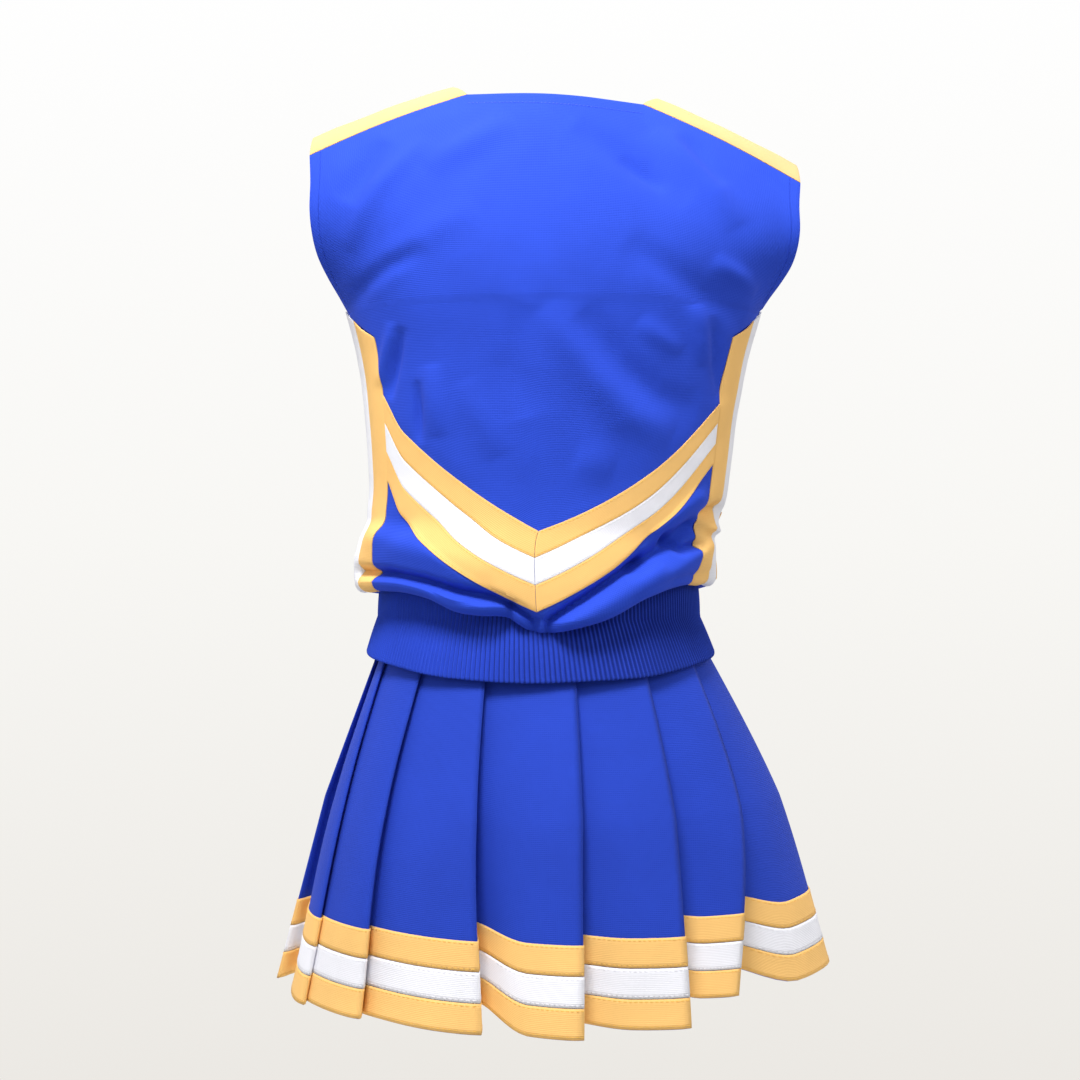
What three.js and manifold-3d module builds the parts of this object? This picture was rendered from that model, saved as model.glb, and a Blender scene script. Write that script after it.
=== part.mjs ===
// Cheer uniform: a sleeveless shell top over a knife-pleated skirt, as worn.
// Millimetres, +Z up. +X is the wearer's right, +Y the wearer's front.
// The origin is the middle of the wearer's waist, inside the skirt's waistband.

import * as THREE from 'three'
import { mergeVertices } from 'three/addons/utils/BufferGeometryUtils.js'
import Module from 'manifold-3d'

const { degToRad, lerp, clamp, smoothstep } = THREE.MathUtils

// Shell top
const shoulderHalfWidth = 204
const shoulderTipHeight = 372
const shoulderSeamDepth = 32
const shoulderCrown = 20
const neckHalfWidth = 73
const neckCornerHeight = 430
const backNeckHeight = 427
const backNeckDepth = 60
const frontNeckHeight = 352
const frontNeckDepth = 90
const underarmHeight = 257
const chestHalfWidth = 176
const chestHalfDepth = 112
const armholeWidening = 3
const armholeHalfWidth = 32
const armholeEdgeBearing = 84
const bustDrop = 45
const midriffHeight = 110
const midriffHalfWidth = 152
const midriffHalfDepth = 104
const blouseHeight = 21
const blouseRoll = 8
const sideBandBearings = [61, 75.5, 90]
const sideBandTop = 252
const backDip = 25
const dipStartHeight = 100
const dipFadeHeight = 220
const knitThickness = 1.2
const trimThickness = 0.9
const facingThickness = 0.8
const facingWidth = 22
const labelHalfWidth = 33
const labelHeight = 34

// Chevrons on the shell
const stripeWidth = 19
const stripeGap = stripeWidth / 20
const backApexHeight = 96
const chevronSlope = 0.5
const backChevronCurve = 0.0006
const frontApexHeight = 80
const frontChevronSlope = 0.04

// Rib waistband of the shell
const ribHalfWidth = 133.4
const ribHalfDepth = 96
const ribThickness = 2
const ribHeight = 46

// Skirt
const waistHalfWidth = 126
const waistHalfDepth = 88.6
const bandRise = 8
const bandDrop = 30
const bandThickness = 2.2
const hipDrop = 150
const hipFlareWidth = 0.447
const hipFlareDepth = 0.44
const skirtDrop = 303
const hemFlareWidth = 0.285
const hemFlareDepth = 0.27
const pleatThickness = 1.2
const waistPleatDepth = 4
const hemPleatDepth = 15
const pleatLap = 3.5
const pleatFolds = [-84, -53.5, -37, -13.7, 4.3, 22.9, 37, 66, 92, 118, 144, 170, 196, 222, 248]
const hemStripeWidth = 22
const hemStripeThickness = 0.8

// Side fastening on the wearer's left
const zipBearing = -101
const zipLength = 118
const zipTapeWidth = 10
const zipTapeThickness = 0.6
const coilWidth = 1.6
const coilThickness = 1.5
const sliderWidth = 8
const sliderLength = 11
const sliderDrop = 10
const sliderPlate = 1
const bailLength = 7.2
const bailRise = 3.7
const bailWall = 1
const pullLength = 24
const pullWidth = 6
const pullThickness = 1
const stopLength = 3
const hookLength = 15
const hookBreadth = 7
const fastenerWall = 0.6

// How the pair sits on the body: the right shoulder lies lower, the waist is pushed aside
const shoulderTilt = 0.056
const waistShift = -9
const hipShift = 3
const hemShift = 7
const shiftEndHeight = 80
const shoulderShift = 4

const touchGap = 0.3
const weldLap = 0.1
const bearingStep = 0.1
const layerGap = 0.6
const seamEase = 1.6
const facingGap = 3

const royalBlue = '#2a50d8'
const goldenYellow = '#f9c65c'
const white = '#f4f4f8'
const nickel = '#c9ccd2'

const ringColumns = 56

// ---- Solids ----

// A sheet solid from a grid: place(across, up, out) gives each point, all three from 0 to 1.
function sheet(columns, rows, place) {
  const box = new THREE.BoxGeometry(1, 1, 1, columns, rows, 1)
  matchDiagonals(box)
  box.deleteAttribute('normal')
  box.deleteAttribute('uv')
  return moved(mergeVertices(box), (x, y, z) => place(x + 0.5, y + 0.5, z + 0.5))
}

// Turns the diagonals of the inner skin to match the outer one, so a twisted sheet keeps its
// thickness.
function matchDiagonals(box) {
  const { start, count } = box.groups[box.groups.length - 1]
  const corners = box.index
  for (let i = start; i < start + count; i += 6) {
    const [a, b, d, c] = [0, 1, 2, 4].map((k) => corners.getX(i + k))
    const turned = [a, b, c, a, c, d]
    turned.forEach((corner, k) => corners.setX(i + k, corner))
  }
}

// A closed ring solid from a lathed square; around is the column number divided by columns.
function ring(columns, rows, place) {
  const profile = []
  for (let row = 0; row <= rows; row++) profile.push(new THREE.Vector2(2, row / rows))
  for (let row = rows; row >= 0; row--) profile.push(new THREE.Vector2(1, row / rows))
  profile.push(profile[0].clone())
  const lathe = new THREE.LatheGeometry(profile, columns)
  lathe.deleteAttribute('normal')
  lathe.deleteAttribute('uv')
  return moved(mergeVertices(lathe), (x, y, z) => {
    const turn = Math.atan2(x, z) / (2 * Math.PI)
    const column = Math.round(((turn + 1) % 1) * columns) % columns
    return place(column / columns, y, Math.hypot(x, z) - 1)
  })
}

function moved(geometry, map) {
  const points = geometry.attributes.position
  for (let i = 0; i < points.count; i++) {
    const point = map(points.getX(i), points.getY(i), points.getZ(i))
    points.setXYZ(i, point.x, point.y, point.z)
  }
  return geometry
}

// The surface point moved out along its own normal.
function lifted(surface, across, up, offset) {
  const step = 0.002
  const a0 = Math.max(across - step, 0)
  const a1 = Math.min(across + step, 1)
  const u0 = Math.max(up - step, 0)
  const u1 = Math.min(up + step, 1)
  const alongAcross = surface(a1, up).sub(surface(a0, up))
  const alongUp = surface(across, u1).sub(surface(across, u0))
  const normal = alongAcross.cross(alongUp).normalize()
  return surface(across, up).addScaledVector(normal, offset)
}

function skin(surface, columns, rows, inner, outer) {
  const place = (across, up, out) => lifted(surface, across, up, lerp(inner, outer, out))
  return sheet(columns, rows, place)
}

// Straight-line value between listed [at, value] pairs.
function between(pairs, at) {
  let k = 0
  while (k < pairs.length - 2 && at > pairs[k + 1][0]) k++
  const [from, to] = [pairs[k], pairs[k + 1]]
  const share = clamp((at - from[0]) / (to[0] - from[0]), 0, 1)
  return lerp(from[1], to[1], share)
}

// How everything settles on the body.
function settle(point) {
  const shifts = [
    [-skirtDrop, hemShift], [-hipDrop, hipShift], [0, waistShift], [shiftEndHeight, 0],
    [shoulderTipHeight, shoulderShift],
  ]
  const tilt = shoulderTilt * smoothstep(point.z, underarmHeight - 20, shoulderTipHeight)
  const height = point.z - tilt * point.x
  return new THREE.Vector3(point.x + between(shifts, point.z), point.y, height)
}

// ---- Shell surface ----

// Columns of a panel, from its middle out: neckline, shoulder, and the width of the facing.
const neckShare = neckHalfWidth / shoulderHalfWidth
const facingShare = 1 - facingWidth / shoulderHalfWidth
const sideStops = [0, neckShare / 2, neckShare]
const shoulderColumns = 3
for (let k = 1; k <= shoulderColumns; k++) {
  sideStops.push(lerp(neckShare, facingShare, k / shoulderColumns))
}
sideStops.push(1)
const halfColumns = sideStops.length - 1
const sidePairs = sideStops.map((stop, k) => [k / halfColumns, stop])
const outward = (share) => between(sidePairs, share)

const bustHeight = underarmHeight - bustDrop
const blouseOut = knitThickness + seamEase + 2 * blouseRoll
const blouseHalfWidth = ribHalfWidth + blouseOut
const blouseHalfDepth = ribHalfDepth + blouseOut
const torsoWidths = [
  [blouseHeight, blouseHalfWidth], [midriffHeight, midriffHalfWidth],
  [bustHeight, lerp(midriffHalfWidth, chestHalfWidth, 0.4)],
  [underarmHeight, chestHalfWidth],
]
const torsoDepths = [
  [blouseHeight, blouseHalfDepth], [midriffHeight, midriffHalfDepth],
  [bustHeight, lerp(midriffHalfDepth, chestHalfDepth, 0.8)],
  [underarmHeight, chestHalfDepth],
]

// The shell's lower edge hangs lower at the middle of the back than at the front.
function dip(bearing, height) {
  const share = (1 + Math.cos(degToRad(bearing))) / 2
  return backDip * share * share * (1 - smoothstep(height, dipStartHeight, dipFadeHeight))
}

// Bearing 0 is the middle of the back, 90 the wearer's right side, 180 the front.
function torso(bearing, height, inset = 0) {
  const angle = degToRad(bearing)
  const actual = height - dip(bearing, height)
  const overHip = Math.max(-actual, 0)
  const halfWidth = between(torsoWidths, height) + overHip * hipFlareWidth - inset
  const halfDepth = between(torsoDepths, height) + overHip * hipFlareDepth - inset
  return new THREE.Vector3(halfWidth * Math.sin(angle), -halfDepth * Math.cos(angle), actual)
}

// The top edge of a panel: the neckline in the middle, then a shoulder seam on each side.
function topEdge(isFront, side) {
  const along = Math.abs(side)
  const sign = Math.sign(side)
  const facing = isFront ? 1 : -1
  if (along >= neckShare) {
    const share = (along - neckShare) / (1 - neckShare)
    return new THREE.Vector3(
      sign * lerp(neckHalfWidth, shoulderHalfWidth, share),
      facing * shoulderSeamDepth,
      lerp(neckCornerHeight, shoulderTipHeight, share),
    )
  }
  const share = along / neckShare
  const middleDepth = isFront ? frontNeckDepth : backNeckDepth
  const middleHeight = isFront ? frontNeckHeight : backNeckHeight
  const lift = isFront ? share : share * share
  const inwards = isFront ? 1 - share : Math.cos(share * Math.PI / 2)
  return new THREE.Vector3(
    sign * neckHalfWidth * share,
    facing * lerp(shoulderSeamDepth, middleDepth, inwards),
    lerp(middleHeight, neckCornerHeight, lift),
  )
}

// The part of a panel above the underarm; side runs from -1 to 1, rise from 0 to 1.
function yoke(isFront, side, rise) {
  const facing = isFront ? 1 : -1
  const bearing = isFront ? 180 - side * armholeEdgeBearing : side * armholeEdgeBearing
  const low = torso(bearing, underarmHeight)
  const high = topEdge(isFront, side)
  const edge = side * side
  const swell = Math.sin(Math.PI * rise)
  return new THREE.Vector3(
    lerp(low.x, high.x, rise) + Math.sign(side) * edge * armholeWidening * swell,
    lerp(high.y, low.y, 1 - rise * rise) + facing * edge * armholeHalfWidth * swell,
    lerp(low.z, high.z, rise),
  )
}

// Rows of a panel: the rolled blouse, the torso and the yoke, whose last row is the facing's.
const rollRows = 4
const torsoRows = 7
const yokeRows = 6
const panelRows = rollRows + torsoRows + 1 + yokeRows
const torsoHeights = [
  [0, blouseHeight], [3, midriffHeight], [6, bustHeight], [torsoRows, sideBandTop],
]
const facingRise = 1 - facingWidth / (backNeckHeight - underarmHeight)
const yokeRises = [[0, 0], [yokeRows - 1, facingRise], [yokeRows, 1]]
function panelPoint(isFront, side, row) {
  const bodyBearing = isFront ? sideBandBearings[2] : sideBandBearings[0]
  const overBand = row - rollRows - torsoRows
  const edgeBearing = lerp(bodyBearing, armholeEdgeBearing, clamp(overBand, 0, 1))
  const bearing = isFront ? 180 - side * edgeBearing : side * edgeBearing
  if (row <= rollRows) {
    const turn = Math.PI * row / rollRows
    const inset = blouseRoll * (1 + Math.cos(turn))
    const point = torso(bearing, blouseHeight, inset)
    point.z -= blouseRoll * Math.sin(turn)
    return point
  }
  if (overBand <= 0) return torso(bearing, between(torsoHeights, row - rollRows))
  if (overBand <= 1) return torso(bearing, lerp(sideBandTop, underarmHeight, overBand))
  return yoke(isFront, side, between(yokeRises, overBand - 1))
}

// The side runs left to right on the back and right to left on the front, seen from outside.
function sideAt(isFront, across) {
  const spread = 2 * across - 1
  return (isFront ? -1 : 1) * Math.sign(spread) * outward(Math.abs(spread))
}

// A point of the torso on the flat facets between a panel's rows, for what lies on the panel.
function panelFace(bearing, height) {
  let row = 0
  while (row < torsoRows - 1 && height > between(torsoHeights, row + 1)) row++
  const [low, high] = [between(torsoHeights, row), between(torsoHeights, row + 1)]
  return torso(bearing, low).lerp(torso(bearing, high), (height - low) / (high - low))
}

// ---- Shell parts ----

function shellPanel(isFront) {
  const surface = (across, up) => (
    settle(panelPoint(isFront, sideAt(isFront, across), up * panelRows))
  )
  return skin(surface, 2 * halfColumns, panelRows, 0, knitThickness)
}

// A stripe of the side band, from the rolled blouse up to the underarm.
function sideStripe(hand, fromBearing, toBearing) {
  const edges = hand > 0 ? [fromBearing, toBearing] : [-toBearing, -fromBearing]
  const halfGap = touchGap / chestHalfDepth / 2 * 180 / Math.PI
  const rows = rollRows + torsoRows
  const surface = (across, up) => {
    const bearing = lerp(edges[0] + halfGap * 2, edges[1] - halfGap * 2, across)
    const row = up * rows
    if (row <= rollRows) {
      const turn = Math.PI * row / rollRows
      const point = torso(bearing, blouseHeight, blouseRoll * (1 + Math.cos(turn)))
      point.z -= blouseRoll * Math.sin(turn)
      return settle(point)
    }
    return settle(torso(bearing, between(torsoHeights, row - rollRows)))
  }
  return skin(surface, 2, rows, 0, knitThickness)
}

// The strip over a shoulder, from the back seam to the front seam.
function shoulderStrip(hand) {
  const surface = (across, up) => {
    const along = hand > 0 ? lerp(neckShare, 1, across) : lerp(-1, -neckShare, across)
    const point = topEdge(false, along).lerp(topEdge(true, along), up)
    point.y = lerp(-1, 1, up) * (shoulderSeamDepth - touchGap)
    point.z += touchGap + shoulderCrown * (1 - (2 * up - 1) ** 2)
    return settle(point)
  }
  return skin(surface, 5, 6, 0, knitThickness)
}

// Half of one chevron stripe, from the middle of the panel out to the side band.
function chevronStripe(isFront, hand, order) {
  const slope = isFront ? frontChevronSlope : chevronSlope
  const apex = isFront ? frontApexHeight : backApexHeight
  const upright = stripeWidth * Math.hypot(1, slope)
  const edgeBearing = isFront ? sideBandBearings[2] : sideBandBearings[0]
  const top = apex - order * upright
  const surface = (across, up) => {
    const outFromMiddle = hand > 0 ? across : 1 - across
    const margin = touchGap / midriffHalfWidth
    const side = hand * lerp(margin, 1 - margin, outward(outFromMiddle))
    const bearing = isFront ? 180 + side * edgeBearing : side * edgeBearing
    const arc = Math.abs(side) * degToRad(edgeBearing) * (midriffHalfWidth + midriffHalfDepth) / 2
    const rise = slope * arc + (isFront ? 0 : backChevronCurve * arc * arc)
    const height = top + rise - lerp(upright - stripeGap, 0, up)
    return settle(panelFace(bearing, height))
  }
  const lift = knitThickness + layerGap
  return skin(surface, halfColumns, 1, lift, lift + trimThickness)
}

// The facing inside an armhole, up the back edge, over the strip's end and down the front.
function armholeFacing(hand) {
  const stripRows = 12
  const edgeRows = 2 * yokeRows
  const rows = 2 * edgeRows + stripRows
  const surface = (across, up) => {
    const side = hand > 0 ? lerp(facingShare, 1, across) : -lerp(1, facingShare, across)
    const row = up * rows
    if (row <= edgeRows) return settle(yoke(false, side, between(yokeRises, row / 2)))
    if (row >= edgeRows + stripRows) {
      return settle(yoke(true, side, between(yokeRises, (rows - row) / 2)))
    }
    const over = (row - edgeRows) / stripRows
    const point = topEdge(false, side).lerp(topEdge(true, side), over)
    point.z += shoulderCrown * (1 - (2 * over - 1) ** 2)
    return settle(point)
  }
  return skin(surface, 1, rows, -facingGap - facingThickness, -facingGap)
}

// The facing inside the back or the front neckline.
function neckFacing(isFront) {
  const surface = (across, up) => {
    const side = (isFront ? 1 - 2 * across : 2 * across - 1) * neckShare
    return settle(yoke(isFront, side, lerp(facingRise, 1, up)))
  }
  return skin(surface, 4, 1, -facingGap - facingThickness, -facingGap)
}

function neckLabel() {
  const top = facingRise - touchGap / backNeckHeight
  const bottom = top - labelHeight / (backNeckHeight - underarmHeight)
  const reach = labelHalfWidth / shoulderHalfWidth
  const surface = (across, up) => (
    settle(yoke(false, lerp(-reach, reach, across), lerp(bottom, top, up)))
  )
  return skin(surface, 2, 1, -facingGap - facingThickness, -facingGap)
}

// The rib waistband hugs the skirt with even ease all round.
function ribWaistband() {
  const place = (around, up, out) => {
    const bearing = around * 360
    const angle = degToRad(bearing)
    const nominal = blouseHeight + 2 - ribHeight * (1 - up)
    const height = nominal - dip(bearing, blouseHeight)
    const flare = Math.max(-height, 0)
    const inset = ribThickness * (1 - out)
    const halfWidth = ribHalfWidth + flare * hipFlareWidth - inset
    const halfDepth = ribHalfDepth + flare * hipFlareDepth - inset
    return settle(new THREE.Vector3(
      halfWidth * Math.sin(angle), -halfDepth * Math.cos(angle), height,
    ))
  }
  return ring(ringColumns, 4, place)
}

// ---- Skirt surface ----

const skirtWidths = [
  [0, waistHalfWidth], [hipDrop, waistHalfWidth + hipDrop * hipFlareWidth],
  [skirtDrop, waistHalfWidth + hipDrop * hipFlareWidth + (skirtDrop - hipDrop) * hemFlareWidth],
]
const skirtDepths = [
  [0, waistHalfDepth], [hipDrop, waistHalfDepth + hipDrop * hipFlareDepth],
  [skirtDrop, waistHalfDepth + hipDrop * hipFlareDepth + (skirtDrop - hipDrop) * hemFlareDepth],
]

// A point of the skirt's outer envelope, sunk by inset; drop is measured down from the waist.
function skirtPoint(bearing, drop, inset = 0) {
  const angle = degToRad(bearing)
  const halfWidth = between(skirtWidths, drop) - inset
  const halfDepth = between(skirtDepths, drop) - inset
  return settle(new THREE.Vector3(halfWidth * Math.sin(angle), -halfDepth * Math.cos(angle), -drop))
}

// Each face runs from its tucked edge, under the fold before it, out to its own fold.
const pleats = pleatFolds.map((fold, k) => {
  const before = k === 0 ? pleatFolds[pleatFolds.length - 1] - 360 : pleatFolds[k - 1]
  return { fold, tuck: before - pleatLap, opening: before }
})
const pleatDepthAt = (drop) => lerp(waistPleatDepth, hemPleatDepth, drop / skirtDrop)
const faceInset = (pleat, bearing, drop) => {
  const share = (bearing - pleat.tuck) / (pleat.fold - pleat.tuck)
  return pleatDepthAt(drop) * (1 - share)
}

// ---- Skirt parts ----

function pleatPanel(pleat, fromBearing, toBearing) {
  const place = (across, up, out) => {
    const bearing = lerp(fromBearing, toBearing, across)
    const drop = lerp(skirtDrop, bandDrop + touchGap, up)
    const inset = faceInset(pleat, bearing, drop) + pleatThickness * (1 - out)
    return skirtPoint(bearing, drop, inset)
  }
  return sheet(4, 5, place)
}

// The hem stripes step in at every fold, as the pleats do.
function hemStripe(order) {
  const perPleat = 5
  const stepBearing = 0.5
  const bottom = skirtDrop - order * hemStripeWidth
  const place = (around, up, out) => {
    const column = Math.round(around * pleats.length * perPleat)
    const pleat = pleats[Math.floor(column / perPleat)]
    const along = (column % perPleat) / (perPleat - 1)
    const bearing = lerp(pleat.opening + stepBearing, pleat.fold, along)
    const drop = lerp(bottom - touchGap, bottom - hemStripeWidth, up)
    const inset = faceInset(pleat, bearing, drop) - layerGap - hemStripeThickness * out
    return skirtPoint(bearing, drop, inset)
  }
  return ring(pleats.length * perPleat, 1, place)
}

// The waistband and its lining run right round from one side of the fastening to the other.
function waistband(inner, outer, drop, rise) {
  const halfGap = 0.3
  const place = (across, up, out) => {
    const bearing = lerp(zipBearing + halfGap, zipBearing + 360 - halfGap, across)
    return skirtPoint(bearing, lerp(drop, -rise, up), lerp(inner, outer, out))
  }
  return sheet(ringColumns, 2, place)
}

// A frame on the skirt: x along the waist, y up the fastening, z straight out.
function skirtFrame(drop, inset) {
  const at = (bearing, height) => skirtPoint(bearing, height, inset(bearing, height))
  const origin = at(zipBearing, drop)
  const up = at(zipBearing, drop - 1).sub(origin).normalize()
  const along = at(zipBearing + bearingStep, drop).sub(origin)
  const out = along.cross(up).normalize()
  const frame = new THREE.Group()
  frame.matrixAutoUpdate = false
  frame.matrix.makeBasis(up.clone().cross(out), up, out).setPosition(origin)
  return frame
}

// ---- Fastening parts, each in the frame of its place on the skirt ----

const wasm = await Module()
wasm.setup()

function solidOf(geometry) {
  const plain = geometry.index ? geometry.toNonIndexed() : geometry.clone()
  plain.deleteAttribute('normal')
  plain.deleteAttribute('uv')
  const merged = mergeVertices(plain)
  return new wasm.Manifold(new wasm.Mesh({
    numProp: 3,
    vertProperties: new Float32Array(merged.attributes.position.array),
    triVerts: new Uint32Array(merged.index.array),
  }))
}

function geometryOf(solid) {
  const mesh = solid.getMesh()
  const geometry = new THREE.BufferGeometry()
  geometry.setAttribute('position', new THREE.BufferAttribute(mesh.vertProperties, 3))
  geometry.setIndex(new THREE.BufferAttribute(mesh.triVerts, 1))
  return geometry
}

function block(x0, x1, y0, y1, z0, z1) {
  const box = new THREE.BoxGeometry(x1 - x0, y1 - y0, z1 - z0)
  return box.translate((x0 + x1) / 2, (y0 + y1) / 2, (z0 + z1) / 2)
}

const joined = (...pieces) => geometryOf(pieces.map(solidOf).reduce((all, one) => all.add(one)))

const coilInner = touchGap / 2
const tapeInner = coilInner + coilWidth + touchGap
const coilTop = layerGap + coilThickness
const zipTop = -layerGap - coilThickness
const zipEnd = -zipLength

function zipTape(hand) {
  const edges = [hand * tapeInner, hand * (tapeInner + zipTapeWidth)].sort((a, b) => a - b)
  return block(edges[0], edges[1], zipEnd, zipTop, layerGap, layerGap + zipTapeThickness)
}

// The row of teeth on one tape, as a strip with a scalloped crest.
function zipCoil(hand) {
  const teeth = 16
  const edges = [hand * coilInner, hand * (coilInner + coilWidth)].sort((a, b) => a - b)
  const coilDrop = zipEnd + stopLength + touchGap
  const outline = new THREE.Shape()
  outline.moveTo(coilDrop, layerGap)
  const pitch = (zipTop - stopLength - touchGap - coilDrop) / teeth
  outline.lineTo(coilDrop + teeth * pitch, layerGap)
  for (let tooth = teeth; tooth > 0; tooth--) {
    outline.lineTo(coilDrop + tooth * pitch, coilTop - coilThickness / 3)
    outline.lineTo(coilDrop + (tooth - 0.5) * pitch, coilTop)
  }
  outline.lineTo(coilDrop, coilTop - coilThickness / 3)
  const strip = new THREE.ExtrudeGeometry(outline, { depth: coilWidth, bevelEnabled: false })
  // The outline lies along the zip and the extrusion across it.
  strip.applyMatrix4(new THREE.Matrix4().makeBasis(
    new THREE.Vector3(0, 1, 0), new THREE.Vector3(0, 0, 1), new THREE.Vector3(1, 0, 0),
  ))
  return strip.translate(edges[0], 0, 0)
}

function bottomStop() {
  const reach = coilInner + coilWidth
  return block(-reach, reach, zipEnd, zipEnd + stopLength, layerGap, coilTop)
}

function topStop(hand) {
  const edges = [hand * coilInner, hand * (coilInner + coilWidth)].sort((a, b) => a - b)
  return block(edges[0], edges[1], zipTop - stopLength, zipTop, layerGap, coilTop)
}

// Slider and pull, about the hinge line of the pull at y = 0.
const plateLow = coilTop + touchGap
const plateHigh = plateLow + sliderPlate
const hingeHeight = plateHigh + (bailRise - bailWall) / 2

function zipSlider() {
  const halfWidth = sliderWidth / 2
  const halfLength = sliderLength / 2
  const flangeLow = layerGap + zipTapeThickness + touchGap
  const bailHalf = bailLength / 2
  const bailReach = pullWidth / 6
  const bailTop = plateHigh + bailRise
  return joined(
    block(-halfWidth, halfWidth, -halfLength, halfLength, plateLow, plateHigh),
    block(-halfWidth, -halfWidth + sliderPlate, -halfLength, halfLength, flangeLow, plateHigh),
    block(halfWidth - sliderPlate, halfWidth, -halfLength, halfLength, flangeLow, plateHigh),
    block(-bailReach, bailReach, -bailHalf, -bailHalf + bailWall, plateHigh - 0.5, bailTop),
    block(-bailReach, bailReach, bailHalf - bailWall, bailHalf, plateHigh - 0.5, bailTop),
    block(-bailReach, bailReach, -bailHalf, bailHalf, bailTop - bailWall, bailTop),
  )
}

function zipPull() {
  const pin = 0.7
  const halfWidth = pullWidth / 2
  const windowHalf = pullWidth / 6 + touchGap + weldLap
  const windowDrop = bailLength
  const outline = new THREE.Shape()
  outline.moveTo(-halfWidth, pin)
  outline.lineTo(-halfWidth, halfWidth - pullLength)
  outline.absarc(0, halfWidth - pullLength, halfWidth, Math.PI, 2 * Math.PI, false)
  outline.lineTo(halfWidth, pin)
  outline.closePath()
  const window = new THREE.Path()
  window.moveTo(-windowHalf, -pin)
  window.lineTo(windowHalf, -pin)
  window.lineTo(windowHalf, -windowDrop)
  window.lineTo(-windowHalf, -windowDrop)
  window.closePath()
  outline.holes.push(window)
  const depth = pullThickness
  const plate = new THREE.ExtrudeGeometry(outline, { depth, bevelEnabled: false, curveSegments: 8 })
  return plate.translate(0, 0, hingeHeight - pullThickness / 2)
}

// Hook on one side of the waistband, reaching over the bar on the other.
function waistHook() {
  const reach = hookLength / 3
  const low = layerGap
  const high = low + 2 * fastenerWall + touchGap + fastenerWall
  const halfBreadth = hookBreadth / 2
  return joined(
    block(reach - hookLength, 0, -halfBreadth, halfBreadth, low, low + fastenerWall),
    block(-fastenerWall, 0, -halfBreadth, halfBreadth, low, high),
    block(-fastenerWall, reach, -halfBreadth, halfBreadth, high - fastenerWall, high),
    block(reach - fastenerWall, reach, -halfBreadth, halfBreadth, low + weldLap, high),
  )
}

function waistBar() {
  const halfSpan = hookBreadth / 2 + fastenerWall + touchGap
  const at = hookLength / 6
  const low = layerGap
  const high = low + 2 * fastenerWall
  const foot = fastenerWall * 2
  return joined(
    block(at, at + fastenerWall, -halfSpan - foot, halfSpan + foot, high - fastenerWall, high),
    block(at, at + 4 * foot, -halfSpan - foot, -halfSpan, low, high),
    block(at, at + 4 * foot, halfSpan, halfSpan + foot, low, high),
  )
}

// ---- Assembly ----

const group = new THREE.Group()

function add(parent, name, geometry, color, roughness, metalness = 0) {
  const mesh = new THREE.Mesh(geometry, new THREE.MeshStandardMaterial({ color, roughness, metalness }))
  mesh.name = name
  parent.add(mesh)
}

const shell = new THREE.Group()
const skirt = new THREE.Group()
group.add(shell, skirt)

const hands = [['left', -1], ['right', 1]]
const chevronColours = [['upper', goldenYellow], ['middle', white], ['lower', goldenYellow]]

add(shell, 'back_panel', shellPanel(false), royalBlue, 0.65)
add(shell, 'front_panel', shellPanel(true), royalBlue, 0.65)
add(shell, 'rib_waistband', ribWaistband(), royalBlue, 0.75)
add(shell, 'back_neck_facing', neckFacing(false), royalBlue, 0.65)
add(shell, 'front_neck_facing', neckFacing(true), royalBlue, 0.65)
add(shell, 'neck_label', neckLabel(), white, 0.6)
for (const [side, hand] of hands) {
  const [yellowFrom, yellowTo, whiteTo] = sideBandBearings
  add(shell, `side_stripe_yellow_${side}`, sideStripe(hand, yellowFrom, yellowTo), goldenYellow, 0.6)
  add(shell, `side_stripe_white_${side}`, sideStripe(hand, yellowTo, whiteTo), white, 0.6)
  add(shell, `shoulder_strip_${side}`, shoulderStrip(hand), goldenYellow, 0.6)
  add(shell, `armhole_facing_${side}`, armholeFacing(hand), royalBlue, 0.65)
  chevronColours.forEach(([place, colour], order) => {
    add(shell, `back_chevron_${place}_${side}`, chevronStripe(false, hand, order), colour, 0.6)
    const frontHand = -hand
    add(shell, `front_chevron_${place}_${side}`, chevronStripe(true, frontHand, order), colour, 0.6)
  })
}

add(skirt, 'skirt_waistband', waistband(bandThickness, 0, bandDrop, bandRise), royalBlue, 0.65)
const liningOuter = bandThickness + layerGap
add(
  skirt, 'waistband_lining',
  waistband(liningOuter + facingThickness, liningOuter, bandDrop - 2, bandRise - 2), royalBlue, 0.7,
)
pleats.forEach((pleat, k) => {
  const name = `pleat_${String(k + 1).padStart(2, '0')}`
  const zipAt = zipBearing + 360 < pleat.fold ? zipBearing + 360 : zipBearing
  if (zipAt > pleat.tuck && zipAt < pleat.fold) {
    const seam = bearingStep
    add(skirt, `${name}_front`, pleatPanel(pleat, pleat.tuck, zipAt - seam), royalBlue, 0.6)
    add(skirt, `${name}_back`, pleatPanel(pleat, zipAt + seam, pleat.fold), royalBlue, 0.6)
  } else {
    add(skirt, name, pleatPanel(pleat, pleat.tuck, pleat.fold), royalBlue, 0.6)
  }
})
for (const [order, [name, colour]] of [
  ['hem_stripe_lower', goldenYellow], ['hem_stripe_middle', white], ['hem_stripe_upper', goldenYellow],
].entries()) {
  add(skirt, name, hemStripe(order), colour, 0.6)
}

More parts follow.
